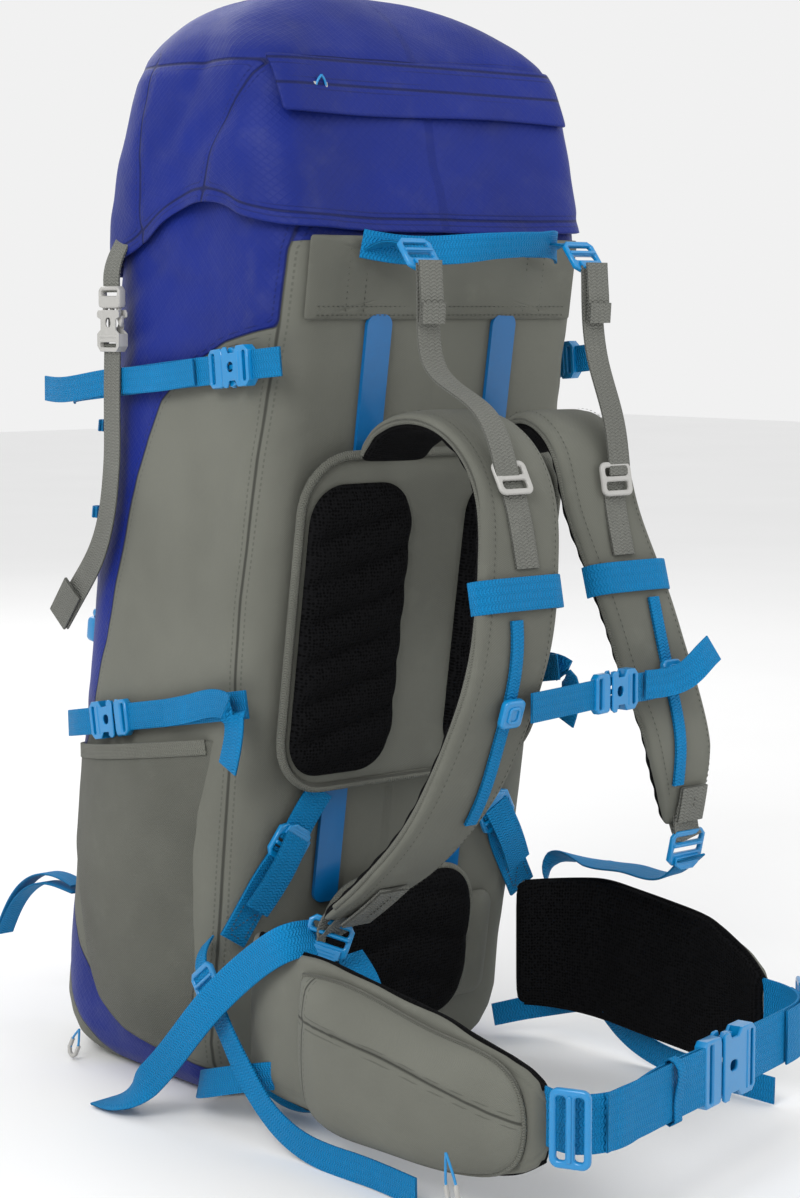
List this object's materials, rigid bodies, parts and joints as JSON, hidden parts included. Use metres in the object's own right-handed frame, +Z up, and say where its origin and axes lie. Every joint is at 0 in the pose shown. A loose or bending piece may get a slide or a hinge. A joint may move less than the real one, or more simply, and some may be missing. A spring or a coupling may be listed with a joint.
{
  "type": "trekking backpack",
  "caption": "Tall framed trekking backpack with hinged lid, adjustable padded harness, hip belt, side pockets and compression straps.",
  "frame": {"origin": "centre of the flat base, on the surface the pack stands on", "axes": "+Z up along the pack, -Y towards the wearer (harness side), -X the wearer's right"},
  "size_m": [0.3882, 0.7402, 0.796],
  "materials": {
    "blue_fabric": "coated ripstop weave",
    "grey_fabric": "plain coated weave",
    "black_mesh": "spacer mesh",
    "blue_webbing": "woven webbing",
    "grey_webbing": "woven webbing",
    "blue_plastic": "moulded acetal",
    "grey_plastic": "moulded acetal",
    "sheet_plastic": "extruded sheet",
    "stay_metal": "anodised bar",
    "cord": "braided cord"
  },
  "bodies": {
    "pack": {"base_panel": "grey_fabric", "back_panel": "grey_fabric", "front_panel": "blue_fabric", "side_panel_right": "grey_fabric", "side_panel_left": "grey_fabric", "collar": "grey_fabric", "frame_sheet": "sheet_plastic", "frame_stays": "stay_metal", "top_band": "grey_fabric", "haul_loop": "blue_webbing", "belt_core": "grey_fabric", "lumbar_pad": "black_mesh", "torso_straps": "blue_webbing", "ladder_locks": "blue_plastic", "lifter_webbing": "grey_webbing", "belt_wing_roots": "grey_fabric", "lower_webbing": "blue_webbing", "stabiliser_webbing": "blue_webbing", "compression_sockets": "blue_plastic", "compression_webbing": "blue_webbing", "lid_sockets": "grey_plastic", "lid_lower_webbing": "grey_webbing", "bottle_pockets": "grey_fabric", "front_pocket": "blue_fabric", "bungee": "cord", "tool_loops": "blue_webbing"},
    "back_pad": {"yoke_panel": "grey_fabric", "quilt_pads": "black_mesh"},
    "harness": {"shoulder_strap_right": "grey_fabric", "shoulder_strap_left": "grey_fabric", "strap_webbing": "grey_webbing", "strap_glides": "grey_plastic", "strap_bands": "blue_webbing", "strap_locks": "blue_plastic"},
    "sternum_strap": {"sternum_webbing": "blue_webbing", "sternum_socket": "blue_plastic"},
    "sternum_plug": {"sternum_plug": "blue_plastic"},
    "sternum_slider_right": {"sternum_slider_right": "blue_plastic"},
    "sternum_slider_left": {"sternum_slider_left": "blue_plastic"},
    "belt_wing_right": {"belt_wing_right": "grey_fabric", "belt_pocket_right": "grey_fabric"},
    "belt_wing_left": {"belt_wing_left": "grey_fabric", "belt_pocket_left": "grey_fabric"},
    "belt_strap_right": {"belt_webbing_right": "blue_webbing", "belt_plug": "blue_plastic"},
    "belt_strap_left": {"belt_webbing_left": "blue_webbing", "belt_socket": "blue_plastic"},
    "belt_zip_right": {"belt_zip_pull_right": "grey_plastic"},
    "belt_zip_left": {"belt_zip_pull_left": "grey_plastic"},
    "upper_plug_right": {"upper_plug_right": "blue_plastic"},
    "upper_plug_left": {"upper_plug_left": "blue_plastic"},
    "lower_plug_right": {"lower_plug_right": "blue_plastic"},
    "lower_plug_left": {"lower_plug_left": "blue_plastic"},
    "lid": {"lid_shell": "blue_fabric", "lid_floor": "blue_fabric"},
    "lid_straps": {"lid_strap_webbing": "grey_webbing", "lid_plugs": "grey_plastic"},
    "lid_zip": {"lid_zip_pull": "grey_plastic"},
    "bottom_zip": {"bottom_zip_pull": "grey_plastic"},
    "cord_lock": {"cord_lock": "blue_plastic"}
  },
  "joints": [
    {"name": "torso_adjust", "type": "slide", "parent": "pack", "child": "back_pad", "axis": [0, -0.1503, 0.9886], "range_m": [0, 0.05], "deforming": ["torso_straps"]},
    {"name": "harness_swing", "type": "hinge", "parent": "back_pad", "child": "harness", "pos_m": [0, -0.227, 0.469], "axis": [1, 0, 0], "range_deg": [-30, 0], "deforming": ["lifter_webbing", "lower_webbing"]},
    {"name": "sternum_height", "type": "slide", "parent": "harness", "child": "sternum_strap", "axis": [0, 0, 1], "range_m": [-0.025, 0.022], "deforming": ["sternum_webbing"]},
    {"name": "sternum_slider_right_slide", "type": "slide", "parent": "harness", "child": "sternum_slider_right", "axis": [0, -0.3243, 0.946], "range_m": [-0.03, 0.03]},
    {"name": "sternum_slider_left_slide", "type": "slide", "parent": "harness", "child": "sternum_slider_left", "axis": [0, 0.318, 0.9481], "range_m": [-0.03, 0.03]},
    {"name": "sternum_buckle", "type": "slide", "parent": "sternum_strap", "child": "sternum_plug", "axis": [-0.983, -0.1835, 0], "range_m": [0, 0.022]},
    {"name": "belt_wing_right_open", "type": "hinge", "parent": "pack", "child": "belt_wing_right", "pos_m": [-0.159, -0.246, 0.08], "axis": [0, 0, -1], "range_deg": [0, 30]},
    {"name": "belt_wing_left_open", "type": "hinge", "parent": "pack", "child": "belt_wing_left", "pos_m": [0.166, -0.246, 0.08], "axis": [0, 0, 1], "range_deg": [0, 30]},
    {"name": "belt_strap_right_turn", "type": "hinge", "parent": "belt_wing_right", "child": "belt_strap_right", "pos_m": [-0.143, -0.481, 0.08], "axis": [0, 0, -1], "range_deg": [-45, 45]},
    {"name": "belt_strap_left_turn", "type": "hinge", "parent": "belt_wing_left", "child": "belt_strap_left", "pos_m": [0.1532, -0.391, 0.08], "axis": [0, 0, 1], "range_deg": [-45, 45]},
    {"name": "belt_zip_right_slide", "type": "slide", "parent": "belt_wing_right", "child": "belt_zip_right", "axis": [0, 1, 0], "range_m": [0, 0.15]},
    {"name": "belt_zip_left_slide", "type": "slide", "parent": "belt_wing_left", "child": "belt_zip_left", "axis": [0, 1, 0], "range_m": [0, 0.07]},
    {"name": "upper_buckle_right", "type": "slide", "parent": "pack", "child": "upper_plug_right", "axis": [0, 0.9954, -0.0956], "range_m": [0, 0.022], "deforming": ["compression_webbing"]},
    {"name": "upper_buckle_left", "type": "slide", "parent": "pack", "child": "upper_plug_left", "axis": [0, 0.9954, -0.0956], "range_m": [0, 0.022]},
    {"name": "lower_buckle_right", "type": "slide", "parent": "pack", "child": "lower_plug_right", "axis": [0, -0.9842, 0.1772], "range_m": [0, 0.022]},
    {"name": "lower_buckle_left", "type": "slide", "parent": "pack", "child": "lower_plug_left", "axis": [0, -0.9842, 0.1772], "range_m": [0, 0.022]},
    {"name": "lid_hinge", "type": "hinge", "parent": "pack", "child": "lid", "pos_m": [0, -0.2215, 0.626], "axis": [1, 0, 0], "range_deg": [0, 85]},
    {"name": "lid_straps_swing", "type": "hinge", "parent": "lid", "child": "lid_straps", "pos_m": [0, -0.03, 0.634], "axis": [1, 0, 0], "range_deg": [-90, 5]},
    {"name": "lid_zip_slide", "type": "slide", "parent": "lid", "child": "lid_zip", "axis": [1, 0, 0], "range_m": [0, 0.19]},
    {"name": "bottom_zip_slide", "type": "slide", "parent": "pack", "child": "bottom_zip", "axis": [0, -1, 0], "range_m": [0, 0.12]},
    {"name": "cord_lock_slide", "type": "slide", "parent": "pack", "child": "cord_lock", "axis": [0, -0.1503, 0.9886], "range_m": [0, 0.012]}
  ],
  "couplings": [
    {"joint": "sternum_slider_right_slide", "follows": "sternum_height", "ratio": 1.0571},
    {"joint": "sternum_slider_left_slide", "follows": "sternum_height", "ratio": 1.0547},
    {"joint": "belt_strap_right_turn", "follows": "belt_wing_right_open", "ratio": -0.7012},
    {"joint": "belt_strap_left_turn", "follows": "belt_wing_left_open", "ratio": -1.318},
    {"joint": "lid_straps_swing", "follows": "lid_hinge", "ratio": -1}
  ]
}
